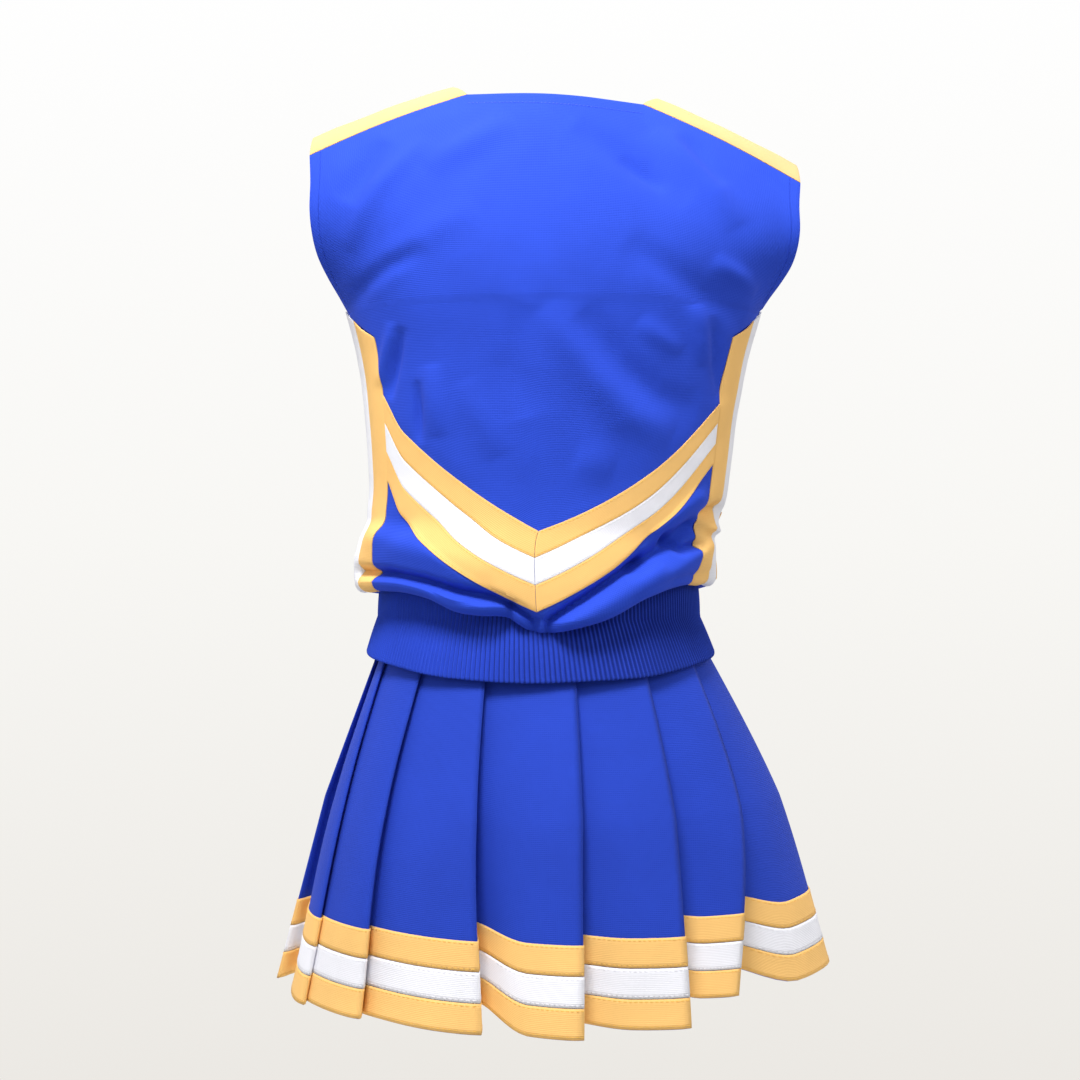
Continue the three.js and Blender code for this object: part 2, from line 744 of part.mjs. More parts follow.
const zipPleat = pleats[0]
const zipFrame = skirtFrame(
  bandDrop, (bearing, drop) => faceInset(zipPleat, bearing, drop),
)
const bandFrame = skirtFrame((bandDrop - bandRise) / 2, () => 0)
skirt.add(zipFrame, bandFrame)
for (const [side, hand] of hands) {
  add(zipFrame, `zip_tape_${side}`, zipTape(hand), royalBlue, 0.8)
  add(zipFrame, `zip_coil_${side}`, zipCoil(hand), royalBlue, 0.45)
  add(zipFrame, `zip_top_stop_${side}`, topStop(hand), nickel, 0.35, 1)
}
add(zipFrame, 'zip_bottom_stop', bottomStop(), nickel, 0.35, 1)
const slider = new THREE.Group()
slider.position.y = -sliderDrop
zipFrame.add(slider)
add(slider, 'zip_slider', zipSlider(), nickel, 0.35, 1)
add(slider, 'zip_pull', zipPull(), nickel, 0.35, 1)
add(bandFrame, 'waist_hook', waistHook(), nickel, 0.35, 1)
add(bandFrame, 'waist_bar', waistBar(), nickel, 0.35, 1)

export default group
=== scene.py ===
from math import cos, exp, hypot, pi, radians, sin

import bmesh
import bpy
from mathutils import Matrix, Vector, noise


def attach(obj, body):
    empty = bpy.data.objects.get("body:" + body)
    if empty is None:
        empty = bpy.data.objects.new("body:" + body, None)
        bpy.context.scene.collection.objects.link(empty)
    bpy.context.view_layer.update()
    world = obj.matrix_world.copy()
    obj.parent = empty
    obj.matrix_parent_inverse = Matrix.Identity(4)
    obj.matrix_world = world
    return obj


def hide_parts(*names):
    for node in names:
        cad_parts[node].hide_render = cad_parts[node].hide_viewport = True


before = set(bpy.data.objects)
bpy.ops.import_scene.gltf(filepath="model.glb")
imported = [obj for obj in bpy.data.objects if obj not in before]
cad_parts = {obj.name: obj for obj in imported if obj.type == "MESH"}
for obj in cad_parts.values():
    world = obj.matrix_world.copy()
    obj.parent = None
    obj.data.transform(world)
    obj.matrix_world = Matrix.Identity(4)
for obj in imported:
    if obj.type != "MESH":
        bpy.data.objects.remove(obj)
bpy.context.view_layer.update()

scene = bpy.context.scene


# ---- Camera ----
# The uniform is seen from behind at the height of the lower back, from 1.4 m away,
# with the lens level.
camera = bpy.data.objects.new("camera", bpy.data.cameras.new("camera"))
scene.collection.objects.link(camera)
camera.data.sensor_width = 36
camera.data.lens = 54.9
camera.location = (-0.0085, -1.4, 0.064)
camera.rotation_euler = (radians(90), 0, 0)
scene.camera = camera


# ---- Room and light ----
# A bright, even room with pale surroundings: soft light from all round, dimmer on the
# camera's side, a large soft lamp high over the back and a weaker one at each side.
def linear(code, alpha=1.0):
    parts = [int(code[k:k + 2], 16) / 255 for k in (1, 3, 5)]
    return [c / 12.92 if c <= 0.04045 else ((c + 0.055) / 1.055) ** 2.4 for c in parts] + [alpha]


def node(tree, kind, settings=None, links=None):
    made = tree.nodes.new(kind)
    for name, value in (settings or {}).items():
        if isinstance(name, int):
            made.inputs[name].default_value = value
        elif name in made.inputs:
            made.inputs[name].default_value = value
        else:
            setattr(made, name, value)
    for name, source in (links or {}).items():
        tree.links.new(source, made.inputs[name])
    return made


scene.view_settings.view_transform = "Standard"
world = bpy.data.worlds.new("pale room")
world.use_nodes = True
sky = node(world.node_tree, "ShaderNodeSeparateXYZ", None,
           {"Vector": node(world.node_tree, "ShaderNodeTexCoord").outputs["Generated"]})
level = node(world.node_tree, "ShaderNodeMapRange", {"From Min": -1.0, "From Max": 1.0},
             {"Value": sky.outputs["Z"]})
ramp = node(world.node_tree, "ShaderNodeValToRGB", None, {"Fac": level.outputs["Result"]})
behind = node(world.node_tree, "ShaderNodeMapRange",
              {"From Min": -0.5, "From Max": 0.1, "To Min": 0.5, "To Max": 1.0}, {"Value": sky.outputs["Y"]})
world.node_tree.links.new(
    behind.outputs["Result"], world.node_tree.nodes["Background"].inputs["Strength"])
stops = ramp.color_ramp.elements
stops[0].position, stops[0].color = 0.0, linear("#7d7b79")
stops[1].position, stops[1].color = 1.0, linear("#ffffff")
for position, colour in ((0.3, "#8c8a88"), (0.34, "#ebe8e3"), (0.5, "#f8f7f4"), (0.66, "#ffffff")):
    stops.new(position).color = linear(colour)
world.node_tree.links.new(ramp.outputs["Color"], world.node_tree.nodes["Background"].inputs["Color"])
scene.world = world


def soft_lamp(name, place, aim, size, power):
    lamp = bpy.data.objects.new(name, bpy.data.lights.new(name, "AREA"))
    lamp.data.size = size
    lamp.data.energy = power
    lamp.location = place
    lamp.rotation_euler = (Vector(aim) - Vector(place)).to_track_quat("-Z", "Y").to_euler()
    scene.collection.objects.link(lamp)
    return lamp


lamps = [
    soft_lamp("high lamp", (-0.3, -0.75, 1.45), (0, -0.1, 0.2), 0.55, 33),
    soft_lamp("left lamp", (-2.0, -1.1, 0.8), (0, 0, 0), 1.0, 4),
    soft_lamp("right lamp", (0.75, -0.8, 0.75), (0.1, -0.1, 0.3), 0.5, 2.8),
]


# ---- Floor ----
# A plain pale floor well below the hem.
def mesh_object(name, build, material=None):
    made = bmesh.new()
    build(made)
    made.normal_update()
    data = bpy.data.meshes.new(name)
    made.to_mesh(data)
    made.free()
    for face in data.polygons:
        face.use_smooth = True
    piece = bpy.data.objects.new(name, data)
    scene.collection.objects.link(piece)
    if material:
        data.materials.append(material)
    return piece


def surface_material(name, color, roughness, **others):
    made = bpy.data.materials.new(name)
    made.use_nodes = True
    tree = made.node_tree
    shader = tree.nodes["Principled BSDF"]
    shader.inputs["Base Color"].default_value = color
    shader.inputs["Roughness"].default_value = roughness
    for key, value in others.items():
        shader.inputs[key.replace("_", " ")].default_value = value
    return made, tree, shader


floor_paint = surface_material("floor paint", linear("#f1f0ec"), 0.9)[0]
floor = mesh_object(
    "floor",
    lambda made: bmesh.ops.create_circle(made, cap_ends=True, segments=96, radius=1.25),
    floor_paint,
)
floor.location.z = -0.92


# ---- Knits ----
# The cloth is a firm double knit with a fine crosswise rib; the trims are knitted braid.
# Colour varies slightly over the cloth, and a fine nap lightens it at grazing angles.
def knit(name, colour, course, wale, depth, roughness=0.82, sheen=0.02, blotch=0.06):
    made, tree, shader = surface_material(name, linear(colour), roughness)
    shader.inputs["Sheen Weight"].default_value = sheen
    shader.inputs["Sheen Roughness"].default_value = 0.5
    shader.inputs["Specular IOR Level"].default_value = 0.14
    uv = node(tree, "ShaderNodeTexCoord").outputs["UV"]
    courses = node(
        tree, "ShaderNodeTexWave",
        {"wave_type": "BANDS", "bands_direction": "Y", "Scale": 2 * pi / (20 * course),
         "Distortion": 0.35, "Detail": 1.0, "Detail Scale": 2.0},
        {"Vector": uv},
    )
    wales = node(
        tree, "ShaderNodeTexWave",
        {"wave_type": "BANDS", "bands_direction": "X", "Scale": 2 * pi / (20 * wale),
         "Distortion": 0.25, "Detail": 1.0, "Detail Scale": 2.0},
        {"Vector": uv},
    )
    height = node(
        tree, "ShaderNodeMath", {"operation": "MULTIPLY_ADD", 1: 0.5},
    )
    tree.links.new(wales.outputs["Fac"], height.inputs[0])
    tree.links.new(courses.outputs["Fac"], height.inputs[2])
    bump = node(
        tree, "ShaderNodeBump", {"Strength": 0.55, "Distance": depth}, {"Height": height.outputs[0]},
    )
    tree.links.new(bump.outputs["Normal"], shader.inputs["Normal"])
    place = node(tree, "ShaderNodeTexCoord").outputs["Object"]
    cloud = node(
        tree, "ShaderNodeTexNoise", {"Scale": 14.0, "Detail": 5.0, "Roughness": 0.6}, {"Vector": place},
    )
    shade = node(
        tree, "ShaderNodeMapRange",
        {"From Min": 0.3, "From Max": 0.7, "To Min": 1 - blotch, "To Max": 1 + blotch},
        {"Value": cloud.outputs["Fac"]},
    )
    tint = node(tree, "ShaderNodeHueSaturation", {"Color": linear(colour)},
                {"Value": shade.outputs["Result"]})
    tree.links.new(tint.outputs["Color"], shader.inputs["Base Color"])
    return made


blue_knit = knit("blue knit", "#2848c4", 0.0014, 0.0017, 0.00022)
pleat_knit = knit("pleat knit", "#2441b4", 0.0014, 0.0017, 0.00022)
rib_knit = knit("rib knit", "#2745bd", 0.0014, 0.0012, 0.00015, 0.85)
yellow_knit = knit("yellow knit", "#f2c176", 0.0013, 0.0009, 0.00016, 0.85, 0.02)
white_knit = knit("white knit", "#e9e9f0", 0.0013, 0.0009, 0.00016, 0.85, 0.02)
# Painted light: the shoulder strips are the same golden braid, given a duller, less saturated colour that
# stands in for the strong light on the shoulder tops.
strip_painted_light_knit = knit("strip painted-light knit", "#deb27a", 0.0013, 0.0009, 0.00016, 0.85, 0.12)
lining_knit = knit("lining knit", "#2b49c4", 0.0008, 0.0008, 0.00008, 0.8)
blue_thread = surface_material("blue thread", linear("#2d4fcf"), 0.55)[0]
yellow_thread = surface_material("yellow thread", linear("#f3bf57"), 0.5)[0]
white_thread = surface_material("white thread", linear("#f4f3f8"), 0.5)[0]


# ---- Shell surface ----
# The shell hangs from the shoulders, follows the back in at the waist and blouses over its
# rib band. Lengths are in millimetres here; bearing 0 is the middle of the back and 90 the
# wearer's right side.
def mix(a, b, t):
    return a + (b - a) * t


def ease(low, high, at):
    t = min(max((at - low) / (high - low), 0.0), 1.0)
    return t * t * (3 - 2 * t)


def curve(pairs, at):
    if at <= pairs[0][0]:
        return pairs[0][1]
    if at >= pairs[-1][0]:
        return pairs[-1][1]
    k = 0
    while pairs[k + 1][0] < at:
        k += 1
    slopes = []
    for j in (k, k + 1):
        before, after = pairs[max(j - 1, 0)], pairs[min(j + 1, len(pairs) - 1)]
        slopes.append((after[1] - before[1]) / (after[0] - before[0]))
    (x0, y0), (x1, y1) = pairs[k], pairs[k + 1]
    t = (at - x0) / (x1 - x0)
    span = x1 - x0
    return (
        (2 * t ** 3 - 3 * t ** 2 + 1) * y0 + (t ** 3 - 2 * t ** 2 + t) * span * slopes[0]
        + (3 * t ** 2 - 2 * t ** 3) * y1 + (t ** 3 - t ** 2) * span * slopes[1]
    )


def cosine_share(bearing):
    return ((1 + cos(radians(bearing))) / 2) ** 2


UNDERARM, BAND_TOP, ROLL, EDGE_BEARING = 257.0, 252.0, 8.0, 84.0
NECK_HALF, SHOULDER_HALF, SEAM_DEPTH, CROWN = 73.0, 204.0, 32.0, 21.0
NECK_CORNER, SHOULDER_TIP = 430.0, 372.0
NECK_SHARE = NECK_HALF / SHOULDER_HALF

torso_widths = [
    (-20, 150), (21, 151), (35, 153), (49, 152), (62, 149), (76, 147), (90, 150), (117, 152),
    (171, 157), (212, 164), (257, 176),
]
torso_depths = [(-20, 112), (21, 113), (49, 110), (76, 105), (110, 104), (212, 110), (257, 112)]
shifts = [
    (-303, 7), (-150, 3), (-20, -9), (21, -12), (62, -12), (84, -5), (110, -1), (171, 1), (257, 3), (372, 4),
]
roll_bottoms = [
    (-180, 13), (-125, 15), (-90, 20), (-50, 22), (-36, 17), (-26, 7), (-17, 4), (-9.6, 3), (-3, -7),
    (3, -9.6), (11, -6.4), (23, 1.6), (38, 18), (58, 27), (90, 25), (125, 17), (180, 13),
]
back_folds = [
    ([(-30, 404), (-100, 364)], 12, 5.0), ([(-136, 392), (-168, 340)], 11, -5.0),
    ([(-98, 392), (-140, 350), (-166, 300)], 9, 4.0), ([(86, 402), (122, 362), (151, 316)], 12, 5.0),
    ([(20, 398), (66, 366), (112, 336)], 13, -4.5), ([(56, 373), (92, 346)], 6, -3.0),
    ([(108, 398), (140, 350)], 8, -3.5),
    ([(-6, 246), (31, 198), (60, 164), (96, 146)], 15, 6.0),
    ([(24, 244), (54, 204), (84, 178), (118, 168)], 13, -4.5),
    ([(-20, 250), (-30, 200), (-20, 160)], 16, -3.4), ([(-120, 236), (-132, 178)], 4.5, -5.0),
    ([(-128, 240), (-140, 190)], 5, 3.5),
    ([(-107, 192), (-105, 140)], 4.0, -4.4), ([(-96, 204), (-90, 146)], 9, 3.6),
    ([(116, 252), (126, 205)], 8, 4.0), ([(132, 244), (140, 176)], 6, -4.5),
    ([(-60, 330), (-110, 300), (-156, 268)], 13, 3.2), ([(60, 300), (120, 262), (160, 246)], 12, -4.2),
    ([(130, 288), (170, 268)], 8, 4.4), ([(-172, 258), (-130, 284), (-100, 296)], 8, -4.4),
    ([(70, 236), (104, 214)], 8, 3.0), ([(-70, 190), (-40, 130)], 12, 2.6),
    ([(20, 130), (50, 120)], 14, 2.4),
]
low_folds = [
    ([(-2, 0), (24, 16), (48, 32), (72, 49)], 3.4, -12.0), ([(66, 42), (96, 63), (138, 90)], 5.0, -9.0),
    ([(10, -2), (36, 12), (60, 27), (84, 40)], 6, 4.0), ([(84, 74), (120, 98)], 7, 4.0),
    ([(-158, 38), (-131, 37), (-101, 31), (-76, 24), (-46, 19), (-32, 14), (-12, 0)], 4.0, -11.0),
    ([(-140, 64), (-96, 54), (-56, 42)], 12, 5.5), ([(-38, 2), (-32, 12)], 3.5, -6.0),
    ([(20, -4), (58, 16), (96, 38), (126, 58)], 10, 7.5), ([(94, 66), (106, 56), (118, 60)], 4, -8.0),
    ([(66, 12), (100, 30), (132, 36)], 4.5, -5.0), ([(122, 80), (142, 72)], 5, 6.0),
    ([(-156, 25), (-120, 28), (-90, 23), (-62, 12), (-40, 8)], 4.5, 4.5),
    ([(-104, 86), (-134, 60)], 8, -1.5),
    ([(-122, 106), (-100, 70)], 7, 1.0),
]
front_folds = [
    ([(-60, 330), (-90, 250)], 15, 2.4), ([(60, 330), (90, 250)], 15, 2.4), ([(0, 300), (0, 220)], 22, 2.0),
    ([(-130, 40), (-60, 30), (0, 26)], 9, 3.4), ([(130, 46), (70, 34), (10, 24)], 8, -3.4),
    ([(-120, 60), (-40, 52)], 7, -2.6), ([(120, 66), (60, 54), (20, 50)], 8, 3.0),
]


def fold_height(x, z, folds, fading=True):
    total = 0.0
    for line, width, height in folds:
        reach = 3.2 * width
        nearest, share = reach, 0.0
        for k, ((x0, z0), (x1, z1)) in enumerate(zip(line, line[1:])):
            if min(x0, x1) - reach > x or max(x0, x1) + reach < x:
                continue
            run, climb = x1 - x0, z1 - z0
            t = ((x - x0) * run + (z - z0) * climb) / (run * run + climb * climb)
            t = min(max(t, 0.0), 1.0)
            away = hypot(x - x0 - t * run, z - z0 - t * climb)
            if away < nearest:
                nearest, share = away, (k + t) / (len(line) - 1)
        if nearest < reach:
            taper = sin(pi * share) ** 0.7 if fading else 1.0
            total += height * taper * exp(-(nearest / width) ** 2)
    return total


def relief(point, is_front):
    x, z = point.x, point.z
    soft = noise.noise(Vector((x * 0.013, z * 0.011, 3.0 if is_front else 8.0))) * 2.2
    fine = noise.noise(Vector((x * 0.05, z * 0.035, 11.0))) * 0.45
    if is_front:
        return soft + fine + fold_height(x, z, front_folds)
    low = fold_height(x, z, low_folds, False) if z < 115 else 0.0
    high = fold_height(x, z, back_folds) if z > 80 else 0.0
    return soft + fine + low + high


def torso_base(bearing, z, inset=0.0):
    angle = radians(bearing)
    across = curve(torso_widths, z) - inset
    deep = curve(torso_depths, z) - inset
    return Vector((across * sin(angle) + curve(shifts, z), -deep * cos(angle), z))


def chevron_height(is_front, bearing, order_share):
    """order_share is 0 at the upper edge of the upper band and 3 at the lower edge of the lowest."""
    away = 180 - abs(bearing) if is_front else abs(bearing)
    arc = radians(away) * 128
    if is_front:
        return 80 + 0.04 * arc - order_share * 19.1
    nominal = 96 + 0.5 * arc + 0.0006 * arc * arc
    full = 21.2
    if bearing > 0:
        full *= mix(1, 0.78, ease(50, 135, arc))
        nominal += 5 * ease(70, 140, arc)
    else:
        nominal += 12 * ease(112, 140, arc)
        full *= mix(1, 1.1, ease(60, 130, arc))
    dip = 25 * cosine_share(bearing) * (1 - ease(100, 220, nominal))
    return nominal - dip - order_share * full


def braid_hold(bearing, z):
    """The sewn braid stiffens the cloth under it, so its folds stay shallower there."""
    if cos(radians(bearing)) < 0 or abs(bearing) > 61:
        return 1.0
    top, bottom = chevron_height(False, bearing, 0), chevron_height(False, bearing, 3)
    return 1 - 0.65 * ease(bottom - 2.5, bottom + 4, z) * (1 - ease(top - 2, top + 12, z))


def torso(bearing, z, lift=0.0):
    base = torso_base(bearing, z)
    along = torso_base(bearing + 1, z) - torso_base(bearing - 1, z)
    up = torso_base(bearing, z + 2) - torso_base(bearing, z - 2)
    normal = along.cross(up).normalized()
    folds = relief(base, cos(radians(bearing)) < 0) * braid_hold(bearing, z)
    return base + normal * (folds + lift)


def tilted(point):
    lower = 0.056 * point.x * ease(237, SHOULDER_TIP, point.z)
    return Vector((point.x + curve(shifts, point.z), point.y, point.z - lower))


def top_edge(is_front, side):
    along, sign, facing = abs(side), (1 if side >= 0 else -1), (1 if is_front else -1)
    if along >= NECK_SHARE:
        share = (along - NECK_SHARE) / (1 - NECK_SHARE)
        return Vector((
            sign * mix(NECK_HALF, SHOULDER_HALF, share), facing * SEAM_DEPTH,
            mix(NECK_CORNER, SHOULDER_TIP, share) + 3 * sin(pi * share),
        ))
    share = along / NECK_SHARE
    middle_depth, middle_height = (90, 352) if is_front else (60, 427)
    if is_front:
        inwards = 1 - share ** 1.2
        height = mix(middle_height, NECK_CORNER, share ** 1.15)
    else:
        inwards, height = cos(share * pi / 2), mix(middle_height, NECK_CORNER, share * share)
    return Vector((sign * NECK_HALF * share, facing * mix(SEAM_DEPTH, middle_depth, inwards), height))


armhole_swell = [
    (0, 0), (0.08, 3), (0.2, 8), (0.32, 11.5), (0.45, 11.5), (0.6, 9), (0.8, 3.5), (1, 0),
]


def yoke_base(is_front, side, rise):
    facing = 1 if is_front else -1
    bearing = 180 - side * EDGE_BEARING if is_front else side * EDGE_BEARING
    low = torso_base(bearing, UNDERARM)
    low.x -= curve(shifts, UNDERARM)
    high = top_edge(is_front, side)
    edge, swell = side * side, sin(pi * rise)
    sign = 1 if side >= 0 else -1
    return tilted(Vector((
        mix(low.x, high.x, rise) + sign * edge * edge * curve(armhole_swell, rise),
        mix(high.y, low.y, 1 - rise * rise) + facing * edge * 32 * swell,
        mix(low.z, high.z, rise),
    )))


def yoke(is_front, side, rise, lift=0.0):
    base = yoke_base(is_front, side, rise)
    along = yoke_base(is_front, side + 0.01, rise) - yoke_base(is_front, side - 0.01, rise)
    up = yoke_base(is_front, side, min(rise + 0.01, 1)) - yoke_base(is_front, side, max(rise - 0.01, 0))
    normal = along.cross(up).normalized()
    if is_front:
        normal = -normal
    fade = 1 - 0.8 * ease(0.86, 1.0, rise)
    edge_fade = 1 - 0.6 * ease(0.9, 1.0, abs(side))
    return base + normal * (relief(base, is_front) * fade * edge_fade + lift)


def rolled(bearing, turn, lift=0.0):
    """Round the underside of the blouse: turn 0 is the inner edge at the rib, pi the outer face."""
    bottom = curve(roll_bottoms, bearing)
    inset = ROLL * (1 + cos(turn)) - lift * sin(turn / 2)
    start = bottom + ROLL
    base = torso_base(bearing, start, inset)
    base.z -= (ROLL + lift) * sin(turn)
    outer = torso(bearing, start) - torso_base(bearing, start)
    return base + outer * (0.5 - 0.5 * cos(turn))


# ---- Body panels ----
# The back and the front are each one piece of blue knit, from the turned-under edge at the
# rib band up to the neckline and the shoulder seams.
def grid(made, columns, rows, place, uv_place):
    """A sheet of columns by rows cells; place and uv_place take shares from 0 to 1."""
    bmesh.ops.create_grid(made, x_segments=columns, y_segments=rows, size=0.5, calc_uvs=True)
    layer = made.loops.layers.uv.verify()
    spots = {}
    for vert in made.verts:
        across, up = vert.co.x + 0.5, vert.co.y + 0.5
        spots[vert] = uv_place(across, up)
        vert.co = place(across, up) * 0.001
    for face in made.faces:
        for loop in face.loops:
            loop[layer].uv = spots[loop.vert]


def thicken(piece, thickness, offset=-1.0, bevel=0.0, segments=2):
    solid = piece.modifiers.new("thickness", "SOLIDIFY")
    solid.thickness = thickness * 0.001
    solid.offset = offset
    solid.use_even_offset = False
    if bevel:
        edge = piece.modifiers.new("edge", "BEVEL")
        edge.width = bevel * 0.001
        edge.segments = segments
        edge.limit_method = "ANGLE"
        edge.angle_limit = radians(50)
    return piece


def cloth(name, columns, rows, place, size, material, thickness, bevel=0.0, offset=-1.0):
    """A thickened sheet; size is its flat width and length in millimetres, used for its UVs."""
    def build(made):
        uv_place = lambda across, up: (across * size[0] * 0.001, up * size[1] * 0.001)
        grid(made, columns, rows, place, uv_place)
    piece = mesh_object(name, build, material)
    return thicken(piece, thickness, offset, bevel)


column_shares = (
    [mix(-1, -NECK_SHARE, k / 38) for k in range(38)]
    + [mix(-NECK_SHARE, NECK_SHARE, k / 44) for k in range(44)]
    + [mix(NECK_SHARE, 1, k / 38) for k in range(39)]
)
PANEL_ROWS = {"roll": 9, "torso": 96, "turn": 6, "yoke": 62}


def seam_bearing(is_front, z):
    """Where a panel ends at the side: it widens below the armhole to meet the other panel."""
    return mix(90.0 if is_front else 61.0, EDGE_BEARING, min(max((z - 230) / 27, 0.0), 1.0))


def panel_point(is_front, side, row, lift=0.0):
    body_row = row - PANEL_ROWS["roll"]
    share = min(max(body_row / PANEL_ROWS["torso"], 0.0), 1.0)
    turn_share = min(max((body_row - PANEL_ROWS["torso"]) / PANEL_ROWS["turn"], 0.0), 1.0)
    height = mix(30, BAND_TOP, share) + (UNDERARM - BAND_TOP) * turn_share
    bearing = side * (seam_bearing(is_front, height) - 0.35)
    bearing = 180 - bearing if is_front else bearing
    if bearing > 180:
        bearing -= 360
    if row <= PANEL_ROWS["roll"]:
        return rolled(bearing, pi * row / PANEL_ROWS["roll"], lift)
    row -= PANEL_ROWS["roll"]
    start = curve(roll_bottoms, bearing) + ROLL
    if row <= PANEL_ROWS["torso"]:
        return torso(bearing, mix(start, BAND_TOP, row / PANEL_ROWS["torso"]), lift)
    row -= PANEL_ROWS["torso"]
    if row < PANEL_ROWS["turn"]:
        return torso(bearing, mix(BAND_TOP, UNDERARM, row / PANEL_ROWS["turn"]), lift)
    rise = (row - PANEL_ROWS["turn"]) / PANEL_ROWS["yoke"]
    return yoke(is_front, side, rise, lift)


def body_panel(name, is_front):
    columns, rows = len(column_shares) - 1, sum(PANEL_ROWS.values())

    def place(across, up):
        side = column_shares[round(across * columns)]
        return panel_point(is_front, -side if is_front else side, up * rows)
    piece = cloth(name, columns, rows, place, (400, 460), blue_knit, 1.2, 0.3)
    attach(piece, "shell")
    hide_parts(name)
    return piece


back_panel = body_panel("back_panel", False)
front_panel = body_panel("front_panel", True)


# ---- Side bands ----
# A golden and a white stripe run down each side, between the back and the front panel, and
# turn under with the blouse.
def side_band(name, hand, low_bearing, high_bearing, material):
    edges = (low_bearing, high_bearing) if hand > 0 else (-high_bearing, -low_bearing)
    roll_rows, rows = 8, 80

    def place(across, up):
        bearing = mix(edges[0] + 0.1, edges[1] - 0.1, across)
        row = up * rows
        puff = 1.2 * sin(pi * across)
        if row <= roll_rows:
            return rolled(bearing, pi * row / roll_rows, puff)
        start = curve(roll_bottoms, bearing) + ROLL
        end = 230 + 27 * min((abs(bearing) - 61) / 23, 1.0) - 0.6
        return torso(bearing, mix(start, end, (row - roll_rows) / (rows - roll_rows)), puff)
    piece = cloth(name, 10, rows, place, (32, 240), material, 1.2, 0.3)
    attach(piece, "shell")
    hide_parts(name)
    return piece


for hand_name, hand in (("left", -1), ("right", 1)):
    side_band(
        f"side_stripe_yellow_{hand_name}", hand, 61, 75.5, yellow_knit)
    side_band(
        f"side_stripe_white_{hand_name}", hand, 75.5, 90, white_knit)


# ---- Shoulder strips ----
# A golden strip lies over each shoulder, seamed to the back and to the front panel.
def strip_point(hand, across, up, lift=0.0):
    arch = 1 - (2 * up - 1) ** 2
    inner = NECK_SHARE + 0.075 * arch
    side = mix(inner, 1, across) if hand > 0 else mix(-1, -inner, across)
    back, front = top_edge(False, side), top_edge(True, side)
    point = back.lerp(front, up)
    point.y = mix(-1, 1, up) * (SEAM_DEPTH - 0.2)
    soft = noise.noise(Vector((side * 6, up * 2, 5.0))) * 1.4
    crown = mix(17, CROWN, (abs(side) - NECK_SHARE) / (1 - NECK_SHARE))
    point.z += 0.4 + (crown + soft + lift) * arch ** 0.85 + lift * (1 - arch)
    point.y += (-lift if up < 0.5 else lift) * (1 - arch)
    return tilted(point)


def shoulder_strip(name, hand):
    place = lambda across, up: strip_point(hand, across, up)
    # Painted light: the strip's duller, less saturated golden colour stands in for the strong light on the
    # shoulder tops.
    piece = cloth(name, 44, 28, place, (140, 84), strip_painted_light_knit, 1.2, 0.35)
    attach(piece, "shell")
    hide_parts(name)
    return piece


shoulder_strips = [shoulder_strip(f"shoulder_strip_{n}", h) for n, h in (("left", -1), ("right", 1))]


# ---- Chevrons ----
# Three bands of braid, golden, white and golden, meet in a mitred point at the middle of the
# back and of the front, and run up into the side bands.
def chevron_band(name, is_front, hand, order, material, slot_name):
    edge = 89.6 if is_front else 60.6

    def bearing_at(across):
        away = mix(0.05, edge, across)
        return hand * (180 - away) if is_front else hand * away

    def place(across, up, lift=0.95):
        turned = across if (hand > 0) != is_front else 1 - across
        bearing = bearing_at(turned)
        high = chevron_height(is_front, bearing, order + 0.003)
        low = chevron_height(is_front, bearing, order + 0.997)
        return torso(bearing, mix(low, high, up), lift)
    piece = cloth(name, 78, 7, place, (165, 19), material, 0.8, 0.25)
    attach(piece, "shell")
    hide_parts(name)
    return piece


for is_front, where in ((False, "back"), (True, "front")):
    for hand_name, hand in (("left", -1), ("right", 1)):
        for order, (level, material, slot_name) in enumerate((
            ("upper", yellow_knit, "yellow_knit"),
            ("middle", white_knit, "white_knit"),
            ("lower", yellow_knit, "yellow_knit"),
        )):
            chevron_band(
                f"{where}_chevron_{level}_{hand_name}", is_front, hand, order, material, slot_name)


# ---- Rib waistband ----
# A folded band of ribbed knit grips the waist; its ribs spread towards the rounded lower edge.
RIBS, PER_RIB, RIB_GIRTH = 236, 5, 0.82
RIB_FOLD, RIB_INNER = 0.62, 0.76

rib_tree = rib_knit.node_tree
rib_shader = rib_tree.nodes["Principled BSDF"]
# Painted shade: the rib knit's colour is darkened in the grooves between the ribs and lightened a little on
# their crests.
grooves = node(
    rib_tree, "ShaderNodeTexWave",
    {"wave_type": "BANDS", "bands_direction": "X", "Scale": 2 * pi / (20 * RIB_GIRTH / RIBS),
     "Phase Offset": pi / 2},
    {"Vector": node(rib_tree, "ShaderNodeTexCoord").outputs["UV"]},
)
groove_painted_shade = node(
    rib_tree, "ShaderNodeMapRange", {"From Max": 0.75, "To Min": 0.42, "To Max": 1.06},
    {"Value": grooves.outputs["Fac"]},
)
rib_painted_shade_tint = node(
    rib_tree, "ShaderNodeHueSaturation", None,
    {"Color": rib_shader.inputs["Base Color"].links[0].from_socket,
     "Value": groove_painted_shade.outputs["Result"]},
)
rib_tree.links.new(rib_painted_shade_tint.outputs["Color"], rib_shader.inputs["Base Color"])


def rib_bottom(bearing):
    soft = noise.noise(Vector((cos(radians(bearing)) * 2, sin(radians(bearing)) * 2, 4.0))) * 2.5
    return -23 - 25 * cosine_share(bearing) + soft


